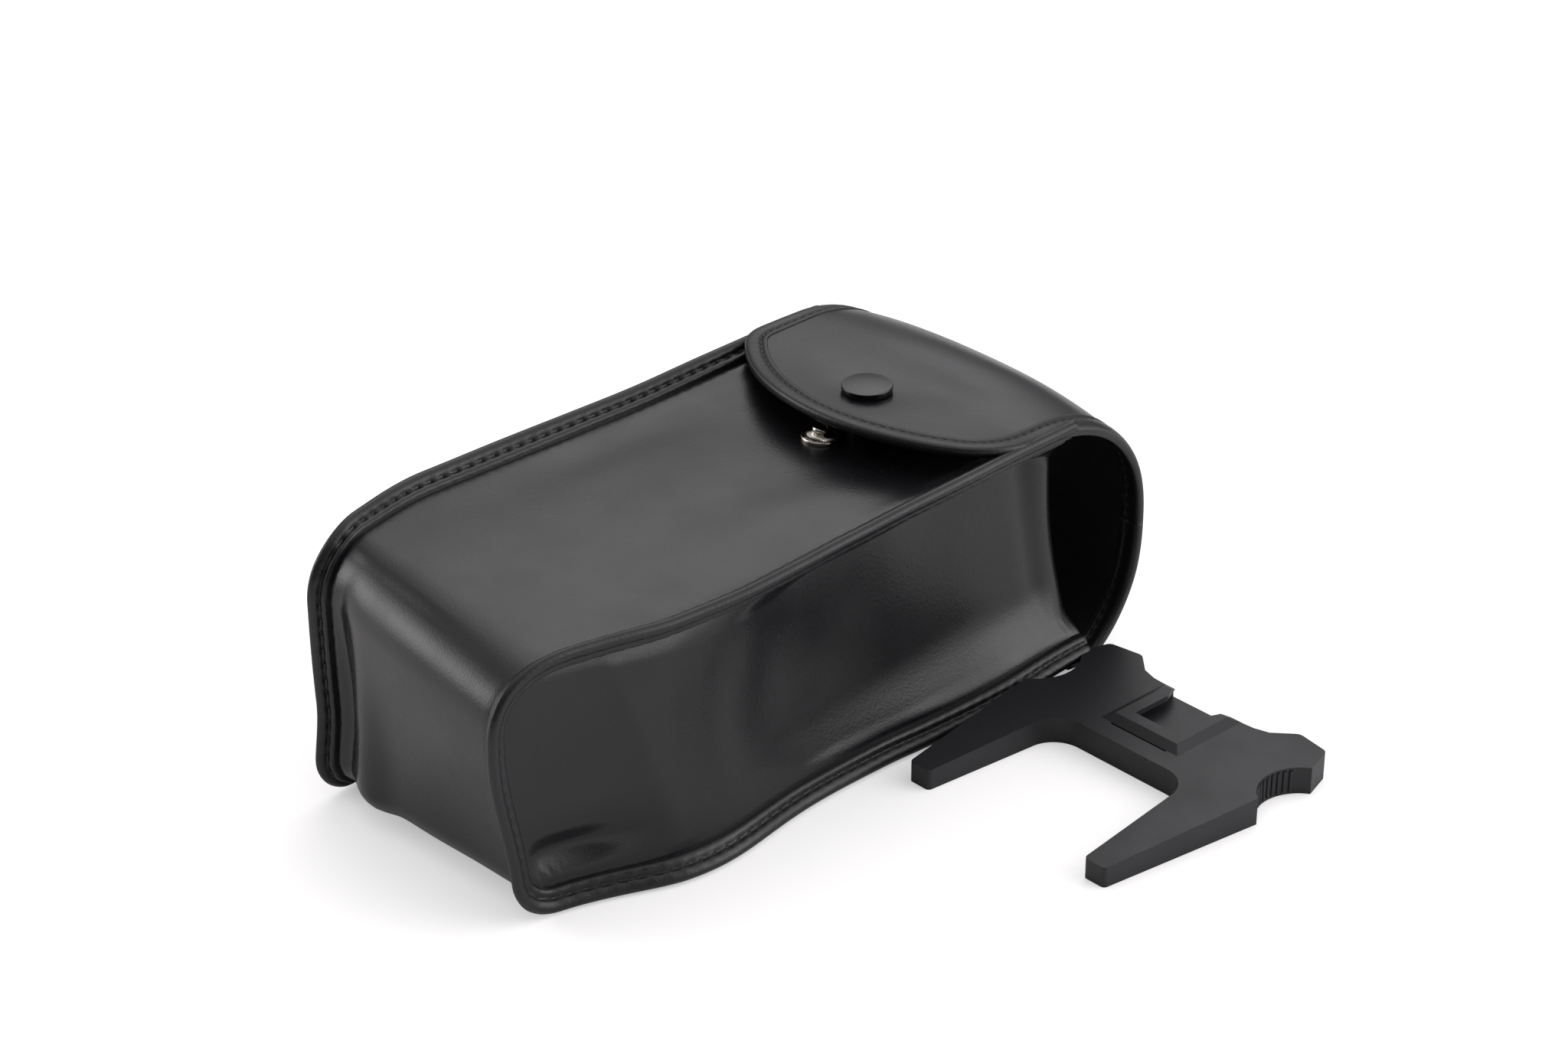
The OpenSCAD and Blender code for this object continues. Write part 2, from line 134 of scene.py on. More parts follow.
def leatherette(name, darkHex, lightHex, roughLow, roughHigh, grain, grainDepth):
    # Calendered PVC leatherette: a smooth semi-gloss film with fine pebble grain,
    # so highlights are broad and soft.
    material, tree, shader = newMaterial(name, darkHex, roughLow, IOR=1.5)
    source = addNode(tree, "ShaderNodeUVMap", {"uv_map": "surface"}).outputs["UV"]
    pebble = addNode(tree, "ShaderNodeTexVoronoi", {"feature": "SMOOTH_F1"}, {"Vector": source},
                     {"Scale": 1 / (grain * mm), "Smoothness": 0.6, "Randomness": 1.0})
    creaseScale = 1 / (texture["creaseToPebble"] * grain * mm)
    creases = addNode(tree, "ShaderNodeTexNoise", links={"Vector": source},
                      values={"Scale": creaseScale, "Detail": 3.0, "Roughness": 0.6})
    patchScale = 1 / (texture["wornPatch"] * mm)
    patches = addNode(tree, "ShaderNodeTexNoise", links={"Vector": source},
                      values={"Scale": patchScale, "Detail": 3.0, "Roughness": 0.55})
    height = addNode(tree, "ShaderNodeMath", {"operation": "ADD"},
                     {0: pebble.outputs["Distance"], 1: creases.outputs["Fac"]})
    bump = addNode(tree, "ShaderNodeBump", links={"Height": height.outputs[0]},
                   values={"Strength": 0.5, "Distance": grainDepth * mm})
    colour = addNode(tree, "ShaderNodeValToRGB", links={"Fac": patches.outputs["Fac"]},
                     stops=((0.3, colourOf(darkHex)), (0.7, colourOf(lightHex))))
    gloss = addNode(tree, "ShaderNodeValToRGB", links={"Fac": patches.outputs["Fac"]},
                    stops=((0.35, greyOf(roughHigh)), (0.65, greyOf(roughLow))))
    feed(tree, shader, {"Normal": bump.outputs["Normal"], "Base Color": colour.outputs["Color"],
                        "Roughness": gloss.outputs["Color"]})
    return material


def wovenCloth(name, darkHex, lightHex, yarn):
    # Plain-weave nylon: matt, with each yarn just raised over its neighbour.
    material, tree, shader = newMaterial(name, darkHex, 0.75)
    shader.inputs["Sheen Weight"].default_value = texture["sheen"]
    source = addNode(tree, "ShaderNodeUVMap", {"uv_map": "surface"}).outputs["UV"]
    scale = math.pi / (20 * yarn * mm)   # one wave over two yarns
    waves = [addNode(tree, "ShaderNodeTexWave", {"wave_type": "BANDS", "bands_direction": way},
                     {"Vector": source}, {"Scale": scale, "Distortion": 0.0})
             for way in ("X", "Y")]
    weave = addNode(tree, "ShaderNodeMath", {"operation": "MULTIPLY"},
                    {0: waves[0].outputs["Fac"], 1: waves[1].outputs["Fac"]})
    bump = addNode(tree, "ShaderNodeBump", links={"Height": weave.outputs[0]},
                   values={"Strength": 0.6, "Distance": texture["yarnRelief"] * mm})
    colour = addNode(tree, "ShaderNodeValToRGB", links={"Fac": weave.outputs[0]},
                     stops=((0.1, colourOf(darkHex)), (0.8, colourOf(lightHex))))
    feed(tree, shader, {"Normal": bump.outputs["Normal"], "Base Color": colour.outputs["Color"]})
    return material


def speckled(name, darkHex, lightHex, roughness, grit, depth, metallic=0.0):
    # A fine moulded, cast or plated texture, read from the object's own place.
    material, tree, shader = newMaterial(name, darkHex, roughness, metallic)
    source = addNode(tree, "ShaderNodeTexCoord").outputs["Object"]
    fine = addNode(tree, "ShaderNodeTexNoise", links={"Vector": source},
                   values={"Scale": 1 / (grit * mm), "Detail": 4.0, "Roughness": 0.65})
    patchScale = 1 / (texture["mouldPatch"] * mm)
    broad = addNode(tree, "ShaderNodeTexNoise", links={"Vector": source},
                    values={"Scale": patchScale, "Detail": 3.0, "Roughness": 0.6})
    bump = addNode(tree, "ShaderNodeBump", links={"Height": fine.outputs["Fac"]},
                   values={"Strength": 0.5, "Distance": depth * mm})
    colour = addNode(tree, "ShaderNodeValToRGB", links={"Fac": broad.outputs["Fac"]},
                     stops=((0.3, colourOf(darkHex)), (0.7, colourOf(lightHex))))
    gloss = addNode(tree, "ShaderNodeValToRGB", links={"Fac": broad.outputs["Fac"]},
                    stops=((0.3, greyOf(roughness * texture["dull"])),
                           (0.7, greyOf(roughness * texture["polished"]))))
    feed(tree, shader, {"Normal": bump.outputs["Normal"], "Base Color": colour.outputs["Color"],
                        "Roughness": gloss.outputs["Color"]})
    return material


materials = {
    # Calendered film: semi-gloss and nearly black, with a pebble grain just seen in highlights.
    "leatherette": leatherette("calenderedPvcLeatherette", "0f0e11", "131114",
                               0.24, 0.32, 0.55, 0.04),
    # Smooth PVC on the flap's inside: greyer, with a duller and wider sheen.
    "flap_lining": leatherette("smoothPvcFlapLining", "121114", "171618", 0.40, 0.5, 0.7, 0.05),
    # Tape folded by hand: softer gloss, and grain deepened by the stretch over the edge.
    "binding": leatherette("foldedPvcBindingTape", "0f0e11", "151316", 0.32, 0.42, 0.5, 0.07),
    # Twisted nylon thread: dull and fibrous, the darkest thing on the case.
    "thread": speckled("twistedBlackNylonThread", "050506", "0a0a0b", 0.6, 0.3, 0.08),
    # Woven nylon: the yarns show as a fine matt check.
    "lining": wovenCloth("plainWeaveNylonLining", "101013", "1a1a1f", 0.5),
    # Pressed pulp board: flat grey-brown with a loose fibrous speck.
    "board": speckled("pressedGreyStiffenerBoard", "6f6453", "8a7a62", 0.9, 0.8, 0.05),
    # Open-cell foam: quite matt, with open pores.
    "foam": speckled("opencellPolyurethaneFoam", "3a3a3e", "4a4a4e", 0.95, 0.6, 0.15),
    # Nickel plate: warm and bright, with sharp highlights.
    "nickel": speckled("platedBrightNickel", "cfcac0", "ddd8ce", 0.16, 0.5, 0.004, 1.0),
    # Drawn wire: the same metal colour, duller from the die.
    "spring_wire": speckled("drawnSpringWire", "b9b5aa", "c8c4ba", 0.28, 0.3, 0.004, 1.0),
    # Stoved enamel: hard gloss with a faint orange peel.
    "black_enamel": speckled("bakedBlackEnamel", "060607", "0a0a0b", 0.10, 1.4, 0.004),
    # ABS from a spark-eroded mould: an even matt grain that greys the black.
    "abs_black": speckled("sparkErodedMattBlackAbs", "1d1c1f", "222124", 0.46, 0.35, 0.03),
    # Turned brass: warm yellow, lightly brushed by the tool.
    "brass": speckled("turnedBrass", "b08a3a", "c9a24a", 0.3, 0.5, 0.004, 1.0),
}
print("materials made")

wallCrease = 55   # degrees: the rim of a walled sheet stays crisp


def addPiece(name, bm, body, slotName, replaced=(), wall=0.0, blendWith=None, smoothAngle=None,
             metres=False, shading=True):
    if wall:
        bmesh.ops.solidify(bm, geom=bm.faces[:], thickness=wall)
        smoothAngle = smoothAngle or wallCrease
    if not metres:
        bmesh.ops.scale(bm, vec=(mm, mm, mm), verts=bm.verts)
    mesh = bpy.data.meshes.new(name)
    bm.to_mesh(mesh)
    bm.free()
    piece = bpy.data.objects.new(name, mesh)
    bpy.context.scene.collection.objects.link(piece)
    mesh.materials.append(materials[slotName])
    if shading:
        mesh.shade_smooth()
    if smoothAngle is not None:
        mesh.set_sharp_from_angle(angle=math.radians(smoothAngle))
    if blendWith:
        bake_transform(piece)
    else:
        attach(piece, body)
    if replaced:
        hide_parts(*replaced)
    return piece


# A grid whose corners run 0 to 1 both ways, laid by pointAt; flat is its real size, for the
# surface map.
def gridMesh(cells, flat, pointAt, loop=False, capped=False):
    bm = bmesh.new()
    bmesh.ops.create_grid(bm, x_segments=cells[0], y_segments=cells[1], size=0.5)
    surface = bm.loops.layers.uv.new("surface")
    for face in bm.faces:
        for corner in face.loops:
            place = corner.vert.co
            corner[surface].uv = ((place.x + 0.5) * flat[0] * mm, (place.y + 0.5) * flat[1] * mm)
    for vert in bm.verts:
        vert.co = pointAt(vert.co.x + 0.5, vert.co.y + 0.5)
    if loop:
        bmesh.ops.remove_doubles(bm, verts=bm.verts, dist=0.002)
    if capped:
        bmesh.ops.holes_fill(bm, edges=[e for e in bm.edges if e.is_boundary])
    if loop:
        bmesh.ops.recalc_face_normals(bm, faces=bm.faces)
    return bm


def turnOver(bm):
    bmesh.ops.reverse_faces(bm, faces=bm.faces)
    return bm


# closed curve through given section points, smooth at each one
def throughPoints(points, share):
    count = len(points)
    place = share * count
    i, f = int(place) % count, place - int(place)
    a, b, c, d = (points[(i + k) % count] for k in (-1, 0, 1, 2))
    return [0.5 * (2 * b[n] + (c[n] - a[n]) * f
                   + (2 * a[n] - 5 * b[n] + 4 * c[n] - d[n]) * f * f
                   + (3 * b[n] - a[n] - 3 * c[n] + d[n]) * f ** 3) for n in (0, 1)]


stripLow, stripHigh = cadBoxOf("outer_strip")
boardHigh = cadBoxOf("front_board")[1]
case = {
    "x0": stripLow.x, "mouthBack": stripHigh.x, "z0": stripLow.z, "z1": stripHigh.z,
    "halfWidth": stripHigh.y,
    "mouthFront": boardHigh.x + 3.0,   # the board stops a margin short of the panel's edge
    "frontBend": 14.0, "backBend": 8.0,
    "skin": 1.0, "board": 1.2, "lining": 0.6, "gap": 0.05,
    "hemRadius": 1.4, "hemLength": 8.0,
}
caseHeight = case["z1"] - case["z0"]
mouthSlope = (case["mouthBack"] - case["mouthFront"]) / caseHeight
frontRun = case["mouthFront"] - case["x0"] - case["frontBend"]
frontArc = math.pi / 2 * case["frontBend"]
endRun = caseHeight - case["frontBend"] - case["backBend"]
backArc = math.pi / 2 * case["backBend"]
backRun = case["mouthBack"] - case["x0"] - case["backBend"]
pathLength = frontRun + frontArc + endRun + backArc + backRun


# how far along the case its slanting mouth is, at a height
def mouthAt(z):
    return case["mouthBack"] - mouthSlope * (z - case["z0"])


# where the outer strip's side view runs: x, z and the outward direction at a distance along it
def sidePath(s):
    c = case
    if s <= frontRun:
        return c["mouthFront"] - s, c["z1"], 0.0, 1.0
    s -= frontRun
    if s <= frontArc:
        a = math.pi / 2 + s / c["frontBend"]
        return (c["x0"] + c["frontBend"] * (1 + math.cos(a)),
                c["z1"] - c["frontBend"] * (1 - math.sin(a)), math.cos(a), math.sin(a))
    s -= frontArc
    if s <= endRun:
        return c["x0"], c["z1"] - c["frontBend"] - s, -1.0, 0.0
    s -= endRun
    if s <= backArc:
        a = math.pi + s / c["backBend"]
        return (c["x0"] + c["backBend"] * (1 + math.cos(a)),
                c["z0"] + c["backBend"] * (1 + math.sin(a)), math.cos(a), math.sin(a))
    return c["x0"] + c["backBend"] + s - backArc, c["z0"], 0.0, -1.0


# near is the side at -y, far the side at +y
slump = {
    # amount, where along the case it starts, and the length over which it comes
    "taper": (1.0, 50.0, 38.0), "end": (1.0, 62.0, 26.0), "lean": (4.0, 20.0, 40.0),
    "mouthIn": (1.2, 10.0, 75.0), "mouthRise": (1.0, 5.0, 75.0), "upright": (3.0, 40.0, 45.0),
    "seamLift": (4.4, 25.0, 60.0), "seamOut": (4.0, 15.0, 50.0),
    # the closed end drawn in, as seen from above
    "taperNear": 7.0, "nearTopShare": 0.75, "taperFar": 7.4, "taperFarFoot": 3.0,
    "outerHalf": 46.5,
    # the closed end's face: out at the near side, in at the far foot
    "endFootNear": 1.2, "endOutNear": 7.2, "endNearHigh": 0.75,
    "endInFar": 1.0, "endFootFar": 2.8, "endFarHigh": 0.35,
    "endBelly": 1.0, "endToFloor": 0.5,
    # the front panel's sag and its rise towards the mouth
    "sag": 2.8, "sagAt": -34.0, "sagLength": 34.0, "riseNear": 1.5, "riseFar": 3.0,
    # the near lower seam bulges out under the dented end
    "footOut": 5.0, "footAt": -42.0, "footLength": 24.0,
    "leanWay": (0.61, 0.66, -0.44),
    "floorGap": 0.12,
}


def slumped(name, along):
    amount, start, length = slump[name]
    return amount * easeFrom(along, start, length)


# how the soft case has slumped from its drawn shape
def softWarp(x, y, z):
    across = y / case["halfWidth"]
    near = 0.5 - 0.5 * clamp(across, -1, 1)
    far = 1 - near
    high = (z - case["z0"]) / caseHeight
    up = clamp(high)
    low = 1 - up
    nearShare = slump["nearTopShare"] + (1 - slump["nearTopShare"]) * low
    narrower = slumped("taper", -x) * (
        slump["taperNear"] * near * nearShare
        + far * (slump["taperFar"] + slump["taperFarFoot"] * low * low))
    narrower += slumped("mouthIn", x)
    newY = y * (1 - narrower / slump["outerHalf"])
    end = slumped("end", -x)
    endNear = -slump["endFootNear"] - slump["endOutNear"] * ease(high / slump["endNearHigh"])
    endFar = slump["endInFar"] - slump["endFootFar"] * (1 - ease(high / slump["endFarHigh"]))
    newX = x + end * (near * endNear + far ** 2 * endFar)
    newX -= end * slump["endBelly"] * clamp(1 - across * across) * (1 - 0.5 * up)
    sag = slump["sag"] * hump(x, slump["sagAt"], slump["sagLength"]) * near ** 1.5
    rise = slumped("mouthRise", x) * (slump["riseNear"] * near + slump["riseFar"] * far)
    newZ = z + up * (rise - sag)
    newZ += slumped("seamLift", x) * near ** 2 * low ** 2
    footOut = slump["footOut"] * hump(x, slump["footAt"], slump["footLength"])
    newY -= (footOut + slumped("seamOut", x)) * near ** 2 * low ** 3
    newX += slumped("upright", x) * near * (up ** 2 - low ** 2)
    newZ -= slump["endToFloor"] * end * low ** 2 * clamp(1 - across ** 4)
    lean = slumped("lean", -x) * near ** 2 * up   # the near front corner has leaned back
    leanX, leanY, leanZ = slump["leanWay"]
    return Vector((newX + leanX * lean, newY + leanY * lean,
                   max(slump["floorGap"], newZ + leanZ * lean)))


# dents and swells pressed into the panels: centre, reach both ways, and height outwards
frontSwells = [(-20, 0, 50, 26, 1.0), (-31, 2, 14, 20, -0.5), (8, -24, 22, 10, 0.9),
               (-60, 10, 18, 18, 0.4), (56, 8, 31, 34, -2.8), (60, -24, 34, 20, -3.0),
               (-10, 30, 30, 8, -0.6)]
endSwells = [(23, 16, 8, 19, 2.3), (35, 29, 5.5, 24, -2.5), (-22, 26, 16, 16, -0.5)]
nearSwells = [(-76, 16, 15, 5, -2.4), (-74, 25, 14, 7, 0.8), (-77, 8.5, 12, 3.2, 0.5),
              (-66, 56, 8, 6, -0.8), (-18, 40, 12, 22, -1.0)]
farSwells = [(-60, 18, 20, 12, 2.4), (0, 26, 60, 18, 2.2), (30, 48, 26, 10, -0.9),
             (-40, 45, 16, 12, -1.0)]


def swellAt(swells, a, b):
    return sum(height * hump(a, ca, ra) * hump(b, cb, rb) for ca, cb, ra, rb, height in swells)


sideFold = {
    "at": -66.0, "top": 61.0, "slant": 0.29, "height": 2.6, "crest": 1.6,
    "before": 11.0, "after": 20.0, "foot": 3.0, "footHeight": 14.0,
}


# a soft fold in the near side panel, down from the front corner
def nearFold(x, z):
    past = x - sideFold["at"] - sideFold["slant"] * (sideFold["top"] - z)
    fall = math.hypot(past, sideFold["crest"]) - sideFold["crest"]
    reach = sideFold["before"] if past < 0 else sideFold["after"]
    fade = easeFrom(z, sideFold["foot"], sideFold["footHeight"])
    return sideFold["height"] * math.exp(-fall / reach) * fade


drape = {
    # slow waves of the skin, and how far in from a seam they begin
    "wave": 0.35, "waveSize": 26.0, "quiet": 9.0,
    "sideWave": 0.4, "sideWaveSize": 22.0, "sideQuiet": 7.0, "mouthQuiet": 14.0,
    # drawn down beside the seam, and gathered by its stitches
    "dip": 0.35, "dipAt": 1.2, "dipWidth": 1.6,
    "gather": 0.06, "gatherAt": 3.2, "gatherWidth": 2.0, "gatherPitch": 3.8,
    # the near side panel is sunk in above a flared foot: depth, height from and over, x from
    # and over
    "sunk": (4.9, 3.0, 22.0, -42.0, 46.0), "sunkHigh": (1.7, 24.0, 34.0, -28.0, 34.0),
    # the mouth's edge curls in: depth and width
    "curl": 3.2, "curlMiddle": 1.5, "middleAt": 33.0, "middleReach": 20.0, "curlWidth": 17.0,
    "lip": 2.2, "lipWidth": 8.0,
    # puckers at the lower corners
    "pucker": 0.45, "puckerTurn": 2.6,
}


def seamDip(edge):
    return drape["dip"] * hump(edge, drape["dipAt"], drape["dipWidth"])


def sunkIn(x, z):
    depth, foot, height, start, length = drape["sunk"]
    lower = depth * easeFrom(z, foot, height) * easeFrom(x, start, length)
    depth, foot, height, start, length = drape["sunkHigh"]
    return lower + depth * clamp((z - foot) / height) * easeFrom(x, start, length)


# a place on the outer strip: distance along it, across it, and height above its face
def stripPoint(s, y, lift=0.0):
    x, z, outX, outZ = sidePath(clamp(s, 0, pathLength))
    edge = case["halfWidth"] - abs(y)
    swell = drape["wave"] * wobble(x, y, z, drape["waveSize"])
    if outZ > 0.9:   # the front panel
        swell += swellAt(frontSwells, x, y)
    elif outX < -0.4:   # the closed end
        swell += swellAt(endSwells, y, z)
    gather = drape["gather"] * hump(edge, drape["gatherAt"], drape["gatherWidth"])
    gather *= math.sin(2 * math.pi * s / drape["gatherPitch"]) * (0.4 + abs(wobble(s, y, 0, 9)))
    lift += swell * ease(edge / drape["quiet"]) - seamDip(edge) + gather
    return softWarp(x + outX * lift, y, z + outZ * lift)


# a place on a side panel, moved out square to the slumped surface
def gussetPoint(x, z, side, lift=0.0):
    high = z - case["z0"]
    edge = min(high, case["z1"] - z, x - case["x0"])
    mouth = mouthAt(z) - x
    quiet = ease(edge / drape["sideQuiet"]) * ease((mouth + 2) / drape["mouthQuiet"])
    swell = swellAt(nearSwells if side < 0 else farSwells, x, z)
    swell += drape["sideWave"] * wobble(x, side * 30, z, drape["sideWaveSize"])
    if side < 0:
        swell += nearFold(x, z) - sunkIn(x, z)
    swell = swell * quiet - seamDip(edge)
    curl = drape["curl"] + drape["curlMiddle"] * hump(high, drape["middleAt"], drape["middleReach"])
    curl = curl * clamp(1 - mouth / drape["curlWidth"]) ** 2
    curl += drape["lip"] * clamp(1 - mouth / drape["lipWidth"]) ** 2
    swell -= curl * ease(edge / drape["quiet"])
    pucker = drape["pucker"] * hump(min(x - case["x0"], mouth), 3, 5) * hump(high, 4, 4)
    swell += pucker * math.sin(drape["puckerTurn"] * (x + 0.5 * z)) * quiet
    place = softWarp(x, side * case["halfWidth"], z)
    ahead = softWarp(x + 1, side * case["halfWidth"], z) - place
    above = softWarp(x, side * case["halfWidth"], z + 1) - place
    out = ahead.cross(above).normalized() * (-side)
    return place + out * (lift + swell)


# a hem turned inwards: how far on and how far in, for a distance past where it starts to turn
def turnIn(d):
    r = case["hemRadius"]
    if d <= 0:
        return d, 0.0
    if d <= math.pi * r:
        return r * math.sin(d / r), r * (1 - math.cos(d / r))
    return math.pi * r - d, 2 * r


hemAll = case["hemLength"] + math.pi * case["hemRadius"]


def makeStrip():
    def at(u, v):
        s = u * (pathLength + hemAll) - hemAll
        y = (2 * v - 1) * (case["halfWidth"] - case["gap"])
        on, inward = turnIn(case["hemRadius"] - s)
        return stripPoint(case["hemRadius"] - on, y, -inward)

    bm = gridMesh((330, 64), (pathLength + hemAll, 2 * case["halfWidth"]), at)
    return addPiece("outerStrip", turnOver(bm), "pouch", "leatherette", ["outer_strip"],
                    wall=case["skin"])


def makeGusset(side, name, node):
    def at(u, v):
        z = case["z0"] + caseHeight * (0.5 - 0.5 * math.cos(math.pi * v))
        left = case["x0"]
        for bend, towards in ((case["backBend"], z - case["z0"]),
                              (case["frontBend"], case["z1"] - z)):
            if towards < bend:
                left = case["x0"] + bend - math.sqrt(max(0, bend * bend - (bend - towards) ** 2))
        right = mouthAt(z)
        x = left + u * (right + hemAll - left)
        on, inward = turnIn(x - right + case["hemRadius"])
        return gussetPoint(right - case["hemRadius"] + on, z, side, -inward)

    bm = gridMesh((220, 84), (case["mouthBack"] - case["x0"] + hemAll, caseHeight), at)
    if side > 0:
        turnOver(bm)
    return addPiece(name, bm, "pouch", "leatherette", [node], wall=case["skin"])


makeStrip()
makeGusset(-1, "rightGusset", "right_gusset")
makeGusset(1, "leftGusset", "left_gusset")
print("case panels made")


seam = {
    "groove": 1.1,          # where the stitching lies, out from the corner of the case
    "stitchPitch": 3.9, "stitchLength": 2.9, "threadRadius": 0.34, "threadLift": 1.02,
    "waver": 0.22,
    # how far the stitches press in the groove, the outer band and the inner roll
    "press": 0.24, "pressNearFront": 0.06, "pressBand": 0.05, "pressRoll": 0.06,
    "middle": 1.2, "endRound": 1.3,
}
# one face of the seam from under the panel, over the inner roll, into the stitch groove and
# out to the edge
seamHalf = [(-2.1, 1.15), (-1.5, 1.5), (-1.0, 1.92), (-0.35, 2.02), (0.3, 1.72), (0.75, 1.22),
            (1.1, 1.0), (1.5, 1.2), (2.1, 1.52), (2.9, 1.5), (3.6, 1.28), (4.15, 0.86)]
seamSection = seamHalf + [(4.4, 0.0)] + [(r, -t) for r, t in reversed(seamHalf)]


# a place in the seam: distance along it, side of the case, and r out and t across the section
def seamPoint(s, side, r, t):
    x, z, outX, outZ = sidePath(clamp(s, 0, pathLength))
    along = s - clamp(s, 0, pathLength)   # past either end it runs straight on
    if s < 0:
        x -= along
    elif s > pathLength:
        x += along
    r += seam["waver"] * wobble(s, side * 40, 3, 24) * clamp(r)
    t += seam["waver"] * wobble(s, side * 40, 90, 17) * clamp(r + 1)
    up, sideways = (r + t) * math.sqrt(0.5), (r - t) * math.sqrt(0.5)
    return softWarp(x + outX * up, side * (case["halfWidth"] + sideways), z + outZ * up)


def makeSeam(side, name, nodes):
    start, stop = -1.0, pathLength - 0.6

    def at(u, v):
        s = start + u * (stop - start)
        r, t = throughPoints(seamSection, v)
        stitch = math.cos(2 * math.pi * s / seam["stitchPitch"])
        press = seam["pressNearFront"] if side < 0 and s < frontRun else seam["press"]
        if abs(t) > 0.3:
            t += math.copysign(press, t) * stitch * hump(r, seam["groove"], 0.7)
        beside = seam["pressBand"] * hump(r, 2.6, 0.9) + seam["pressRoll"] * hump(r, -0.4, 0.6)
        t += math.copysign(beside, t) * stitch
        fromEnd = min(s - start, stop - s)
        shrink = math.sqrt(clamp(1 - (1 - clamp(fromEnd / seam["endRound"])) ** 2, 0.02, 1))
        return seamPoint(s, side, seam["middle"] + (r - seam["middle"]) * shrink, t * shrink)

    bm = gridMesh((430, 40), (pathLength, 16), at, loop=True, capped=True)
    return addPiece(name, bm, "pouch", "binding", nodes)


# short threads, each coming up out of one hole and going down the next
def addStitches(bm, count, placeAt, radius=seam["threadRadius"], length=seam["stitchLength"]):
    for k in range(count):
        made = bmesh.ops.create_uvsphere(bm, u_segments=7, v_segments=6, radius=1)
        slack = random.uniform(-0.12, 0.12)
        for vert in made["verts"]:
            a, b, c = vert.co.z, vert.co.x, vert.co.y
            dip = 0.5 * abs(a) ** 3
            vert.co = placeAt(k, a * length / 2 * (1 + slack), b * radius * 1.15, c * radius - dip)


def makeSeamThread(side, name, nodes):
    bm = bmesh.new()
    pitch, first = seam["stitchPitch"], 2.5
    for face in (1, -1):
        def at(k, along, across, height):
            s = first + k * pitch + pitch / 2 + along
            return seamPoint(s, side, seam["groove"] + across + 0.08 * (k % 2),
                             face * (seam["threadLift"] + height))
        addStitches(bm, int((pathLength - 4) / pitch), at)
    bmesh.ops.recalc_face_normals(bm, faces=bm.faces)
    return addPiece(name, bm, "pouch", "thread", nodes)


makeSeam(-1, "rightSeam", ["right_binding"])
makeSeam(1, "leftSeam", ["left_binding"])
makeSeamThread(-1, "rightSeamStitches", ["right_seam_thread"])
makeSeamThread(1, "leftSeamStitches", ["left_seam_thread"])
print("bound seams made")


inside = {
    "margin": 3.0, "pocketLength": 84.0, "pocketHalf": 39.0, "pocketHem": 6.0, "facing": 10.0,
    "start": 2.0, "sideStart": 4.0, "cornerShare": 0.4,
}


def stripLayer(name, s0, s1, half, depth, wall, slotName, nodes, cells=(60, 24)):
    bm = gridMesh(cells, (s1 - s0, 2 * half),
                  lambda u, v: stripPoint(s0 + u * (s1 - s0), (2 * v - 1) * half, -depth))
    return addPiece(name, turnOver(bm), "pouch", slotName, nodes, wall=wall)


def makeInside():
    half, gap, start = case["halfWidth"] - inside["margin"], case["gap"], inside["start"]
    board, lining = case["board"], case["lining"]
    liningHalf = case["halfWidth"] - case["skin"] - lining - 2 * gap
    depth = case["skin"] + gap
    liningDepth = case["skin"] + board + 2 * gap
    innerDepth = liningDepth + lining + 2 * gap
    endStart = frontRun + frontArc
    stripLayer("frontBoard", case["hemLength"] + 1, frontRun, half, depth, board, "board",
               ["front_board"])
    stripLayer("backBoard", pathLength - backRun, pathLength - 4, half, depth, board, "board",
               ["back_board"])
    pad = stripLayer("endPad", endStart + 1, endStart + endRun - 1, half, depth, board, "foam",
                     ["end_pad"])
    stripLayer("stripLining", start, pathLength - start, liningHalf, liningDepth, lining,
               "lining", ["strip_lining"], (150, 30))
    stripLayer("mouthFacing", start, start + inside["facing"], liningHalf - 0.2, innerDepth,
               lining, "binding", ["mouth_facing"], (12, 24))
    pocketStart = pathLength - backRun + 2
    pocketEnd = pocketStart + inside["pocketLength"]
    pocket = stripLayer("innerPocket", pocketStart, pocketEnd, inside["pocketHalf"], innerDepth,
                        lining, "lining", ["inner_pocket"])
    hem = stripLayer("pocketHem", pocketEnd - inside["pocketHem"], pocketEnd,
                     inside["pocketHalf"], innerDepth + lining + gap, lining, "binding",
                     ["pocket_hem"], (10, 24))
    for side, name, node in ((-1, "rightLining", "right_lining"),
                             (1, "leftLining", "left_lining")):
        def at(u, v):
            z = case["z0"] + liningDepth + v * (caseHeight - 2 * liningDepth)
            corner = max(0, case["frontBend"] - (case["z1"] - z))
            corner += max(0, case["backBend"] - (z - case["z0"]))
            left = case["x0"] + inside["sideStart"] + inside["cornerShare"] * corner
            right = mouthAt(z) - case["hemLength"] + 2
            return gussetPoint(left + u * (right - left), z, side, -depth)

        bm = gridMesh((70, 28), (case["mouthBack"] - case["x0"], caseHeight), at)
        if side > 0:
            turnOver(bm)
        addPiece(name, bm, "pouch", "lining", [node], wall=lining)


makeInside()
print("inside made")


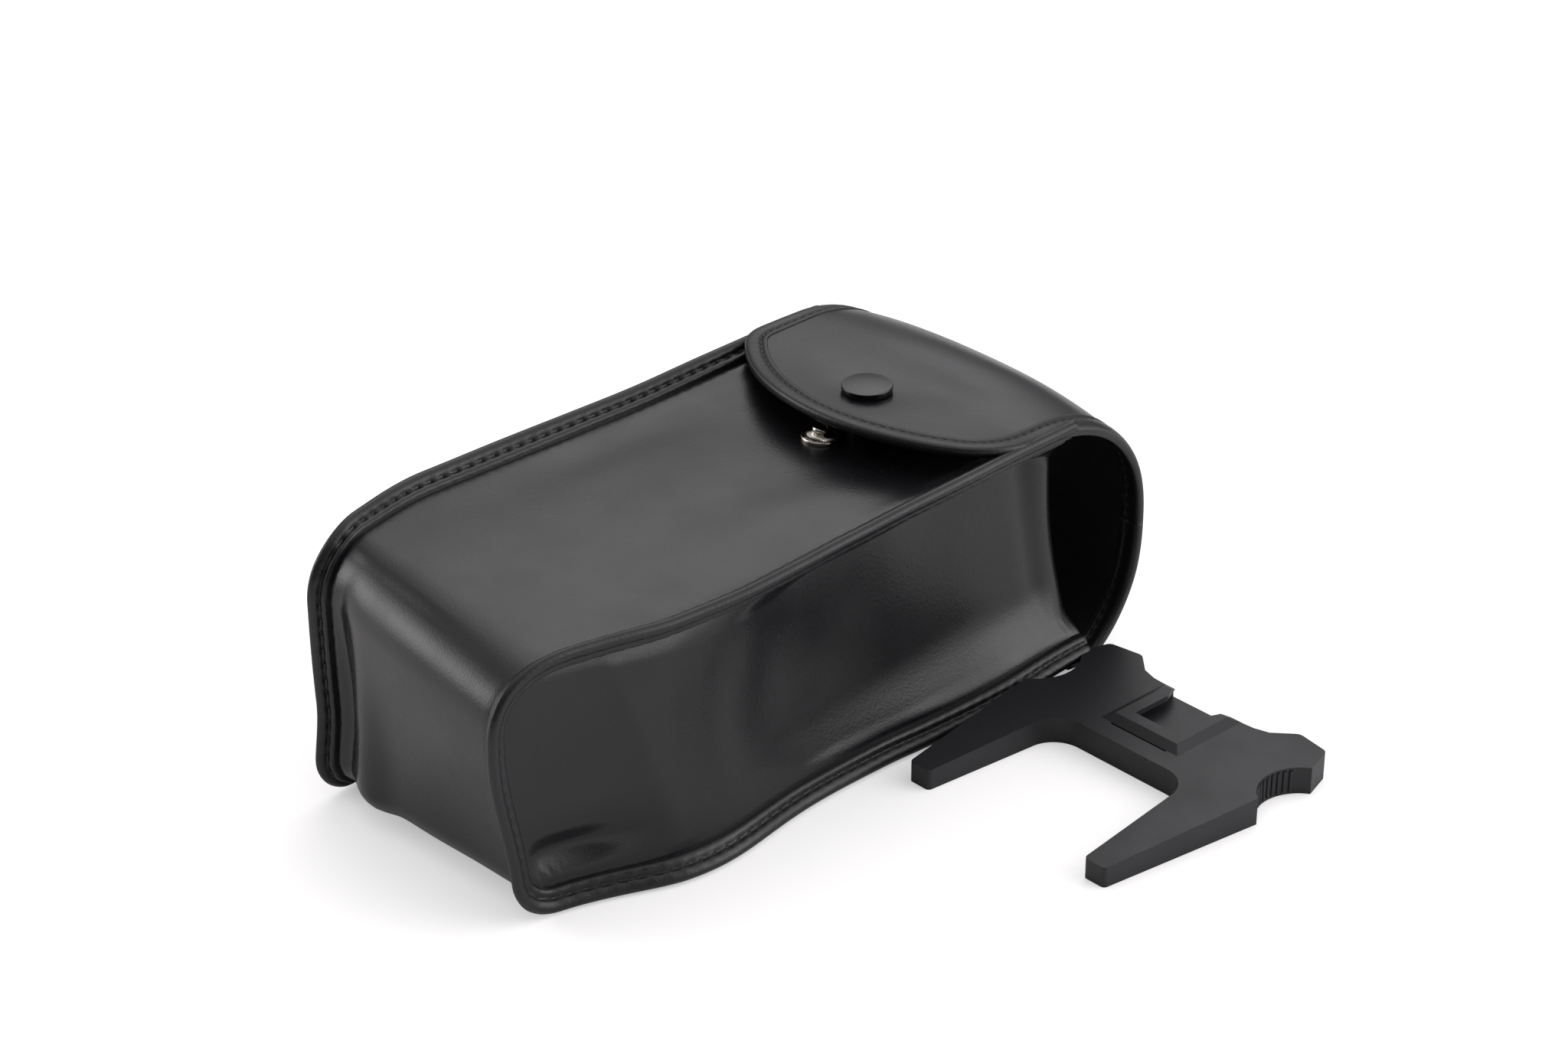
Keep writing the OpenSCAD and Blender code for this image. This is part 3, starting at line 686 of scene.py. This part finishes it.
capLow, capHigh = cadBoxOf("snap_cap")
studLow, studHigh = cadBoxOf("snap_stud")
snapX = (capLow.x + capHigh.x) / 2
riserHigh = cadBoxOf("riser_skin")[1]
edgeLow, edgeHigh = cadBoxOf("tongue_binding")
flap = {
    "half": edgeHigh.y,
    "rollRadius": 35.0, "tipRadius": 60.0, "nearCorner": 19.0, "farCorner": 11.0,
    "rootLap": 6.0, "rootBend": 6.0, "rootOut": 2.025, "splitShare": 0.9,
    "skin": 1.0, "lining": 0.8,
    "stitchIn": 3.7, "stitchPitch": 2.8, "stitchLength": 2.1, "threadRadius": 0.27,
    "threadTop": 0.08, "threadUnder": 0.12, "press": 0.09, "pressBand": 0.03, "waver": 0.12,
}
flapTop = cadBoxOf("tongue_skin")[1].z
rollX, rollZ = riserHigh.x - flap["rollRadius"], flapTop - flap["rollRadius"]
bulgeX = riserHigh.x
# outer face of the riser where it leaves the back panel
rootX, rootZ = case["mouthBack"] + flap["rootOut"], case["z0"]
riseIn, riseUp = bulgeX - rootX, rollZ - rootZ
riseRadius = (riseIn ** 2 + riseUp ** 2) / (2 * riseIn)
riseAngle = math.asin(riseUp / riseRadius)
rootTurn = math.pi / 2 - riseAngle
bendLength = flap["rootBend"] * rootTurn
riseLength = riseRadius * riseAngle
rollLength = flap["rollRadius"] * math.pi / 2
flatStart = flap["rootLap"] + bendLength + riseLength + rollLength
tipCentre = edgeLow.x + flap["tipRadius"]
# the flap is two pieces, one for each fold
splitAt = flap["rootLap"] + bendLength + flap["splitShare"] * riseLength


# side view of the flap's outer face: place and outward direction, from the root past the tip
def flapPath(s):
    lap, r = flap["rootLap"], flap["rootBend"]
    bendX = rootX - r * math.sin(rootTurn)
    bendZ = rootZ - r * (1 - math.cos(rootTurn))
    if s <= lap:
        return bendX - lap + s, bendZ, 0.0, -1.0
    s -= lap
    if s <= bendLength:
        a = s / r
        return (bendX + r * math.sin(a), bendZ + r * (1 - math.cos(a)),
                math.sin(a), -math.cos(a))
    s -= bendLength
    if s <= riseLength:
        a = s / riseRadius - riseAngle
        return (bulgeX - riseRadius * (1 - math.cos(a)), rollZ + riseRadius * math.sin(a),
                math.cos(a), math.sin(a))
    s -= riseLength
    if s <= rollLength:
        a = s / flap["rollRadius"]
        return (rollX + flap["rollRadius"] * math.cos(a),
                rollZ + flap["rollRadius"] * math.sin(a), math.cos(a), math.sin(a))
    return rollX - (s - rollLength), flapTop, 0.0, 1.0


flapSwell = {
    # height, then centre and reach along the fold: 0 at the bulge, 1 where the roll ends
    "nearRise": (2.8, -0.55, 0.42), "nearBulge": (0.8, 0.22, 0.22),
    "nearTuck": (-2.4, 0.95, 0.36), "crown": (1.0, 0.6, 0.42),
    "crownMiddle": 3.9, "crownFar": 0.3, "wave": 0.5,
    # over the front panel: a little domed across, and lifted at the near side
    "flatFrom": 6.0, "flatLength": 30.0, "dome": 0.7, "nearLift": 0.9,
    "floorGap": 0.12,
}
# the tongue is pulled down round the snap, and rides up again beyond it
snapPull = [(snapX, 0, 9, 10, -0.8)]
tongueSwells = [(72, 14, 9, 12, 0.5), (66, -12, 8, 11, -0.6)]


def foldSwell(name, fold):
    height, centre, reach = flapSwell[name]
    return height * hump(fold, centre, reach)


# a place on the flap: distance from the root, across, and height above the outer face
def flapPoint(s, y, lift=0.0):
    x, z, outX, outZ = flapPath(s)
    across = clamp(y / flap["half"], -1, 1)
    near, far = 0.5 - 0.5 * across, 0.5 + 0.5 * across
    fold = (s - (flatStart - rollLength)) / rollLength
    out = near ** 1.4 * foldSwell("nearRise", fold)
    out += near ** 3 * (foldSwell("nearBulge", fold) + foldSwell("nearTuck", fold))
    crown = flapSwell["crownMiddle"] * (1 - across * across) ** 0.8 + flapSwell["crownFar"] * far
    out += crown * foldSwell("crown", fold)
    out += flapSwell["wave"] * wobble(s, y, 5, 30) * ease(s / 20)
    ahead = clamp((s - flatStart - flapSwell["flatFrom"]) / flapSwell["flatLength"])
    out += ahead * (flapSwell["dome"] * (1 - 1.6 * across * across) + flapSwell["nearLift"] * near)
    if outZ > 0.99:
        out += swellAt(snapPull, x, y)
    lift += out + swellAt(tongueSwells, x, y)
    return Vector((x + outX * lift, y, max(flapSwell["floorGap"], z + outZ * lift)))


# one side of the flap's outline in the flat: its corner, and where the corner and tip arcs meet
def outlineOf(side):
    c = flap["nearCorner"] if side < 0 else flap["farCorner"]
    r, inner = flap["tipRadius"], flap["half"] - c
    cornerX = tipCentre - math.sqrt((r - c) ** 2 - inner ** 2)
    tipTurn = math.asin(inner / (r - c))
    straight = flatStart + rollX - cornerX
    return {"c": c, "inner": inner, "cornerX": cornerX, "tipTurn": tipTurn, "straight": straight,
            "length": straight + c * (math.pi / 2 - tipTurn) + r * tipTurn}


outlines = {side: outlineOf(side) for side in (-1, 1)}


# how far from the root the flap reaches, at a distance from its middle
def flapReach(y):
    o, a, r = outlines[-1 if y < 0 else 1], abs(y), flap["tipRadius"]
    if a < o["inner"] * r / (r - o["c"]):
        edgeX = tipCentre - math.sqrt(r * r - a * a)
    else:
        edgeX = o["cornerX"] - math.sqrt(max(0, o["c"] ** 2 - (a - o["inner"]) ** 2))
    return flatStart + rollX - edgeX


def flapSheet(name, fromS, toS, inset, lift, wall, slotName, nodes, blendWith, cells):
    half = flap["half"] - inset

    def at(u, v):
        y = half * math.sin(math.pi * (v - 0.5))
        stop = flapReach(y * flap["half"] / half) - inset if toS is None else toS
        return flapPoint(fromS + u * (stop - fromS), y, lift)

    bm = gridMesh(cells, ((toS or flatStart + 36) - fromS, 2 * half), at)
    return addPiece(name, turnOver(bm), None, slotName, nodes, wall=wall, blendWith=blendWith)


# the ends of a blend, each side of a joint's axis
def around(pivot, before, after):
    return (pivot + Vector(before)) * mm, (pivot + Vector(after)) * mm


foldRadius = 33.1   # to the middle of the flap's thickness
liftPivot = Vector((rootX + 0.6, 0, case["z0"]))
curlPivot = Vector((rollX + foldRadius * math.cos(math.radians(45)), 0,
                    rollZ + foldRadius * math.sin(math.radians(45))))
lowerBlend = ("pouch", "flap_riser", *around(liftPivot, (-4.5, 0, -1.5), (4.5, 0, 5)))
upperBlend = ("flap_riser", "flap_tongue", *around(curlPivot, (8, 0, -8), (-8, 0, 8)))

flapSheet("flapRiserSkin", 0.3, splitAt, 0.4, 0, flap["skin"], "leatherette",
          ["riser_skin"], lowerBlend, (50, 60))
flapSheet("flapTongueSkin", splitAt, None, 0.4, 0, flap["skin"], "leatherette",
          ["tongue_skin"], upperBlend, (90, 60))
flapSheet("flapRiserLining", 0.3, splitAt, 0.5, -flap["skin"], flap["lining"], "flap_lining",
          ["riser_lining"], lowerBlend, (50, 40))
flapSheet("flapTongueLining", splitAt, None, 0.5, -flap["skin"], flap["lining"], "flap_lining",
          ["tongue_lining"], upperBlend, (90, 40))
print("flap panels made")


edgeTotal = outlines[-1]["length"] + outlines[1]["length"]


# edge of the flap as a path in the flat: place from the root and across, and the way inwards
def flapEdge(q):
    r, side = flap["tipRadius"], -1 if q < outlines[-1]["length"] else 1
    o = outlines[side]
    q = q if side < 0 else edgeTotal - q
    if q <= o["straight"]:
        return q, side * flap["half"], 0.0, -side
    q -= o["straight"]
    cornerArc = o["c"] * (math.pi / 2 - o["tipTurn"])
    if q <= cornerArc:
        a = q / o["c"]
        return (o["straight"] + o["c"] * math.sin(a),
                side * (o["inner"] + o["c"] * math.cos(a)), -math.sin(a), -side * math.cos(a))
    a = o["tipTurn"] - (q - cornerArc) / r
    return (flatStart + rollX - tipCentre + r * math.cos(a), side * r * math.sin(a),
            -math.cos(a), -side * math.sin(a))


flapThick = flap["skin"] + flap["lining"]
# section of the folded tape: distance in from the edge, and height above the outer face for
# its upper half, then below the inner face for its lower half
tapeTop = [(5.3, -0.15), (5.28, 0.2), (5.1, 0.34), (4.7, 0.38), (4.25, 0.3), (3.95, 0.12),
           (3.7, 0.04), (3.4, 0.2), (2.9, 0.44), (2.2, 0.55), (1.3, 0.58), (0.5, 0.48),
           (-0.1, 0.2), (-0.42, -0.3)]
tapeUnder = [(-0.42, -0.3), (-0.1, 0.2), (0.5, 0.48), (1.6, 0.58), (2.9, 0.42), (3.7, 0.08),
             (4.3, 0.32), (5.1, 0.3), (5.3, -0.1)]
tapeSection = tapeTop + [(-0.5, -flapThick / 2)] + [(e, -flapThick - t) for e, t in tapeUnder]


def edgePoint(q, e, lift):
    s, y, inS, inY = flapEdge(q)
    e += flap["waver"] * wobble(q, 0, 60, 15)
    return flapPoint(s + inS * e, y + inY * e, lift)


def tapePiece(name, q0, q1, cells, nodes, blendWith):
    def at(u, v):
        q = q0 + u * (q1 - q0)
        e, lift = throughPoints(tapeSection, v)
        stitch = math.cos(2 * math.pi * q / flap["stitchPitch"])
        centre = -flapThick / 2
        groove = hump(e, flap["stitchIn"], 0.5)
        lift += math.copysign(flap["press"], lift - centre) * stitch * groove
        lift += math.copysign(flap["pressBand"], lift - centre) * stitch * hump(e, 2.4, 0.8)
        return edgePoint(q, e, lift)

    bm = gridMesh((cells, 48), (q1 - q0, 14), at, loop=True, capped=True)
    return addPiece(name, bm, None, "binding", nodes, blendWith=blendWith)


tapePiece("flapRiserTapeRight", 0.6, splitAt, 60, ["riser_right_binding"], lowerBlend)
tapePiece("flapRiserTapeLeft", edgeTotal - 0.6, edgeTotal - splitAt, 60,
          ["riser_left_binding"], lowerBlend)
tapePiece("flapTongueTape", splitAt, edgeTotal - splitAt, 380, ["tongue_binding"], upperBlend)


def flapStitches(name, spans, nodes, blendWith):
    bm = bmesh.new()
    for q0, q1 in spans:
        count = int(abs(q1 - q0) / flap["stitchPitch"])
        step = math.copysign(flap["stitchPitch"], q1 - q0)
        for face in (1, -1):
            def at(k, along, across, height):
                q = q0 + (k + 0.5) * step + along
                top, under = flap["threadTop"] + height, -flapThick - flap["threadUnder"] - height
                return edgePoint(q, flap["stitchIn"] + across, top if face > 0 else under)
            addStitches(bm, count, at, flap["threadRadius"], flap["stitchLength"])
    bmesh.ops.recalc_face_normals(bm, faces=bm.faces)
    return addPiece(name, bm, None, "thread", nodes, blendWith=blendWith)


flapStitches("flapRiserStitches", [(1.5, splitAt), (edgeTotal - 1.5, edgeTotal - splitAt)],
             ["riser_thread"], lowerBlend)
flapStitches("flapTongueStitches", [(splitAt, edgeTotal - splitAt)], ["tongue_thread"],
             upperBlend)
print("flap edges made")


snap = {
    "capRadius": (capHigh.x - capLow.x) / 2, "capRim": 1.6, "capDome": 2.0, "capRound": 0.26,
    "capSeat": 0.45, "postRadius": 1.5, "postDepth": 2.6,
    "studRadius": (studHigh.x - studLow.x) / 2, "headRadius": 2.0,
    "serrations": 36, "serrationHeight": 0.12, "tiltReach": 4.0,
}


# turns a side-view line (distance from the axis, height) into a closed round piece
def turned(points, centre, steps=96):
    bm = bmesh.new()
    verts = [bm.verts.new((r, 0, h)) for r, h in points]
    edges = [bm.edges.new(pair) for pair in zip(verts, verts[1:])]
    bmesh.ops.spin(bm, geom=verts + edges, cent=(0, 0, 0), axis=(0, 0, 1), angle=2 * math.pi,
                   steps=steps, use_merge=True)
    bmesh.ops.remove_doubles(bm, verts=bm.verts, dist=0.001)
    bmesh.ops.recalc_face_normals(bm, faces=bm.faces)
    bmesh.ops.translate(bm, vec=centre, verts=bm.verts)
    return bm


def makeCap():
    r, rim, dome, rounding = (snap[key] for key in ("capRadius", "capRim", "capDome", "capRound"))
    post, depth = snap["postRadius"], -snap["postDepth"]
    # up the post and out under the cap, then the rim's rounded edge, then the dome
    profile = [(0, depth), (post, depth), (post, -0.6), (r - 1.0, -0.5), (r - 0.45, -0.3),
               (r - 0.15, 0.0), (r, 0.3), (r, rim - 0.22)]
    profile += [(r - rounding * (1 - math.cos(a)), rim - 0.22 + rounding * math.sin(a))
                for a in (math.radians(k * 15) for k in range(1, 6))]
    steps = 14
    profile += [((r - 0.3) * (1 - k / steps),
                 rim + 0.03 + (dome - rim) * (1 - (1 - k / steps) ** 2)) for k in range(steps + 1)]
    seat = flapPoint(flatStart + rollX - snapX, 0).z + snap["capSeat"]
    return addPiece("snapCap", turned(profile, (snapX, 0, seat)), "flap_tongue", "black_enamel",
                    ["snap_cap"], smoothAngle=40)


def makeStud():
    r, head, top = snap["studRadius"], snap["headRadius"], studHigh.z - studLow.z
    x, reach = (studLow.x + studHigh.x) / 2, snap["tiltReach"]
    # the flange's rim, its dish, the neck and the rounded head
    profile = [(0, -0.6), (r - 0.7, -0.6), (r - 0.1, -0.15), (r, 0.25), (r - 0.05, 0.7),
               (r - 0.2, 0.86), (r - 0.42, 0.78), (r - 0.8, 0.6), (head + 1.3, 0.42),
               (head + 0.7, 0.36), (head + 0.1, 0.46), (head - 0.4, 0.9), (head - 0.5, top - 1.7),
               (head - 0.15, top - 1.35), (head, top - 0.95), (head - 0.1, top - 0.45),
               (head - 0.5, top - 0.12), (head - 1.1, top), (0, top)]
    bm = turned(profile, (0, 0, 0), 216)
    for vert in bm.verts:   # radial serrations pressed into the dish
        distance = math.hypot(vert.co.x, vert.co.y)
        if head + 0.05 < distance < r - 0.3 and vert.co.z > 0:
            turn = snap["serrations"] * math.atan2(vert.co.y, vert.co.x)
            vert.co.z += snap["serrationHeight"] * math.cos(turn)
    base = case["mouthFront"] - x
    tilt = math.atan2(stripPoint(base - reach, 0).z - stripPoint(base + reach, 0).z, 2 * reach)
    bmesh.ops.rotate(bm, cent=(0, 0, 0), matrix=Matrix.Rotation(-tilt, 3, "Y"), verts=bm.verts)
    bmesh.ops.translate(bm, vec=(x, 0, stripPoint(base, 0).z), verts=bm.verts)
    return addPiece("snapStud", bm, "pouch", "nickel", ["snap_stud"], smoothAngle=50)


makeCap()
makeStud()
print("snap fastener made")


loopLow, loopHigh = cadBoxOf("belt_loop")
loop = {
    "half": loopHigh.y, "thick": 1.3, "ramp": 4.5, "end": 8.0, "clear": 0.06, "rim": 0.3,
    "stitchPitch": 3.5, "stitchLength": 2.5, "threadRadius": 0.28, "rowIn": 2.0, "stitchFrom": 4.0,
}
loopLength = loopHigh.x - loopLow.x


# the loop hangs on the floor in the middle and rises to the back panel at its ends
def loopPath(x):
    reach = loopHigh.x - loop["end"]
    rise = case["z0"] - loop["thick"]
    return rise * ease((abs(x) - reach + loop["ramp"]) / loop["ramp"])


def makeBeltLoop():
    def at(u, v):
        x = loopLow.x + u * loopLength
        a = 2 * math.pi * v
        sideways, height = math.cos(a), math.sin(a)
        sideways = math.copysign(abs(sideways) ** 0.25, sideways)
        height = math.copysign(abs(height) ** 0.5, height)
        nearEnd = clamp(min(u, 1 - u) * loopLength)
        shrink = math.sqrt(clamp(1 - (1 - nearEnd) ** 2, 0.05, 1))
        y = sideways * (loop["half"] - loop["rim"] + loop["rim"] * shrink)
        z = loopPath(x) + loop["thick"] / 2 * (1 + height * shrink) + loop["clear"]
        return Vector((x, y, z))

    bm = gridMesh((90, 40), (loopLength, 2 * loop["half"] + 3), at, loop=True, capped=True)
    addPiece("beltLoop", bm, "pouch", "leatherette", ["belt_loop"])
    bm = bmesh.new()
    count = int((2 * loop["half"] - 6) / loop["stitchPitch"])
    for end in (-1, 1):
        for row in (loop["rowIn"], loop["end"] - loop["rowIn"]):
            def at(k, along, across, height):
                return Vector((end * (loopHigh.x - row + across),
                               -loop["half"] + loop["stitchFrom"] + k * loop["stitchPitch"] + along,
                               case["z0"] - loop["thick"] - 0.02 - height))
            addStitches(bm, count, at, loop["threadRadius"], loop["stitchLength"])
    bmesh.ops.recalc_face_normals(bm, faces=bm.faces)
    addPiece("beltLoopStitches", bm, "pouch", "thread", ["belt_loop_thread"])


makeBeltLoop()
print("belt loop made")


stand = {
    "corner": 1.0, "edge": 0.55,          # rounding of the upright corners and the top edges
    "sharpAngle": 25.0, "flatAngle": 1.0,
    "cornerLeast": 4.6, "cornerMost": 7.4, "faceLeast": 9.0,   # mm, mm and square mm
    "topFrom": 5.2, "edgeLeast": 0.15, "slope": 0.12, "facingUp": 0.9,
}


# rounds some edges of the stand; the wide faces stay flat-shaded
def roundEdges(bm, chosen, width, steps):
    made = bmesh.ops.bevel(bm, geom=chosen, offset=width * mm, segments=steps, profile=0.5,
                           affect="EDGES", offset_type="OFFSET", clamp_overlap=True, material=-1)
    for face in made["faces"]:
        face.smooth = True


def isSharp(edge):
    return (len(edge.link_faces) == 2 and edge.is_convex
            and edge.calc_face_angle(0) > math.radians(stand["sharpAngle"]))


def riseOf(edge):
    return abs(edge.verts[0].co.z - edge.verts[1].co.z)


def isUprightCorner(edge):
    return (isSharp(edge)
            and stand["cornerLeast"] * mm < edge.calc_length() < stand["cornerMost"] * mm
            and riseOf(edge) > stand["cornerLeast"] * mm
            and min(f.calc_area() for f in edge.link_faces) > stand["faceLeast"] * mm * mm)


def isTopEdge(edge):
    return (isSharp(edge) and edge.calc_length() > stand["edgeLeast"] * mm
            and min(v.co.z for v in edge.verts) > stand["topFrom"] * mm
            and riseOf(edge) < stand["slope"] * edge.calc_length() + 0.01 * mm
            and max(f.normal.z for f in edge.link_faces) > stand["facingUp"])


def makeStand():
    bm = bmesh.new()
    bm.from_mesh(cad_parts["stand_body"].data)
    bmesh.ops.remove_doubles(bm, verts=bm.verts, dist=0.01 * mm)
    bmesh.ops.dissolve_limit(bm, angle_limit=math.radians(stand["flatAngle"]), verts=bm.verts,
                             edges=bm.edges)
    for face in bm.faces:
        face.smooth = False
    roundEdges(bm, [edge for edge in bm.edges if isUprightCorner(edge)], stand["corner"], 4)
    roundEdges(bm, [edge for edge in bm.edges if isTopEdge(edge)], stand["edge"], 3)
    return addPiece("standBody", bm, "stand", "abs_black", ["stand_body"], metres=True,
                    shading=False)


makeStand()

# small hidden parts keep their CAD shape and take a real material
for nodeName, slotName in (("stud_eyelet", "nickel"), ("snap_socket", "nickel"),
                           ("socket_ring_spring", "spring_wire"), ("tripod_insert", "brass")):
    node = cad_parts[nodeName]
    node.data.materials.clear()
    node.data.materials.append(materials[slotName])
print("stand made")


studio = {
    "cameraAt": (-0.5324, -0.599, 0.4872), "lookAt": (0.0822, 0.0621, 0.0),
    "lens": 87.89, "sensor": 36,
    "floorHalf": 3.0, "floorDrop": 0.05 * mm,
    # soft light as the object sees it: direction, how narrow it is, and its strength
    "room": 0.10,
    "glows": [((0.55, 0.50, 0.72), 12.0, 1.75), ((-0.52, 0.78, 0.32), 20.0, 4.2),
              ((0.0, 0.0, 1.0), 5.0, 1.1), ((0.62, -0.66, 0.30), 8.0, 3.2)],
    "paperLift": 0.4,   # glow that only the camera sees, so the paper reads as clean white
}


def makeCamera(scene):
    cameraData = bpy.data.cameras.new("camera")
    cameraData.lens, cameraData.sensor_width = studio["lens"], studio["sensor"]
    camera = bpy.data.objects.new("camera", cameraData)
    camera.location = studio["cameraAt"]
    camera.rotation_mode = "QUATERNION"
    aim = Vector(studio["lookAt"]) - Vector(studio["cameraAt"])
    camera.rotation_quaternion = aim.to_track_quat("-Z", "Y")
    scene.collection.objects.link(camera)
    scene.camera = camera


def makeFloor(scene):
    bm = bmesh.new()
    bmesh.ops.create_grid(bm, x_segments=2, y_segments=2, size=studio["floorHalf"])
    mesh = bpy.data.meshes.new("floor")
    bm.to_mesh(mesh)
    bm.free()
    floor = bpy.data.objects.new("floor", mesh)
    floor.location.z = -studio["floorDrop"]
    scene.collection.objects.link(floor)
    # Uncoated matt paper: no sheen of its own, so shadows lie on it softly.
    paper, tree, shader = newMaterial("mattWhitePaper", "fbfafa", 0.9)
    shader.inputs["Specular IOR Level"].default_value = 0.1
    seen = addNode(tree, "ShaderNodeLightPath").outputs["Is Camera Ray"]
    lift = addNode(tree, "ShaderNodeMath", {"operation": "MULTIPLY"}, {0: seen},
                   {1: studio["paperLift"]})
    shader.inputs["Emission Color"].default_value = colourOf("ffffff")
    tree.links.new(lift.outputs[0], shader.inputs["Emission Strength"])
    mesh.materials.append(paper)


def makeLight(scene):
    world = bpy.data.worlds.new("studio")
    world.use_nodes = True
    scene.world = world
    tree = world.node_tree
    direction = addNode(tree, "ShaderNodeTexCoord").outputs["Generated"]
    total = None
    for towards, narrowness, strength in studio["glows"]:
        facing = addNode(tree, "ShaderNodeVectorMath", {"operation": "DOT_PRODUCT"},
                         {0: direction})
        facing.inputs[1].default_value = Vector(towards).normalized()
        ahead = addNode(tree, "ShaderNodeMath", {"operation": "MAXIMUM"},
                        {0: facing.outputs["Value"]}, {1: 0.0})
        falling = addNode(tree, "ShaderNodeMath", {"operation": "POWER"},
                          {0: ahead.outputs[0]}, {1: narrowness})
        glow = addNode(tree, "ShaderNodeMath", {"operation": "MULTIPLY_ADD"},
                       {0: falling.outputs[0]}, {1: strength, 2: studio["room"]})
        if total:
            tree.links.new(total.outputs[0], glow.inputs[2])
        total = glow
    background = tree.nodes["Background"]
    tree.links.new(total.outputs[0], background.inputs["Strength"])
    background.inputs["Color"].default_value = colourOf("fffdff")


scene = bpy.context.scene
scene.view_settings.view_transform = "Standard"
makeCamera(scene)
makeFloor(scene)
makeLight(scene)
print("studio made")
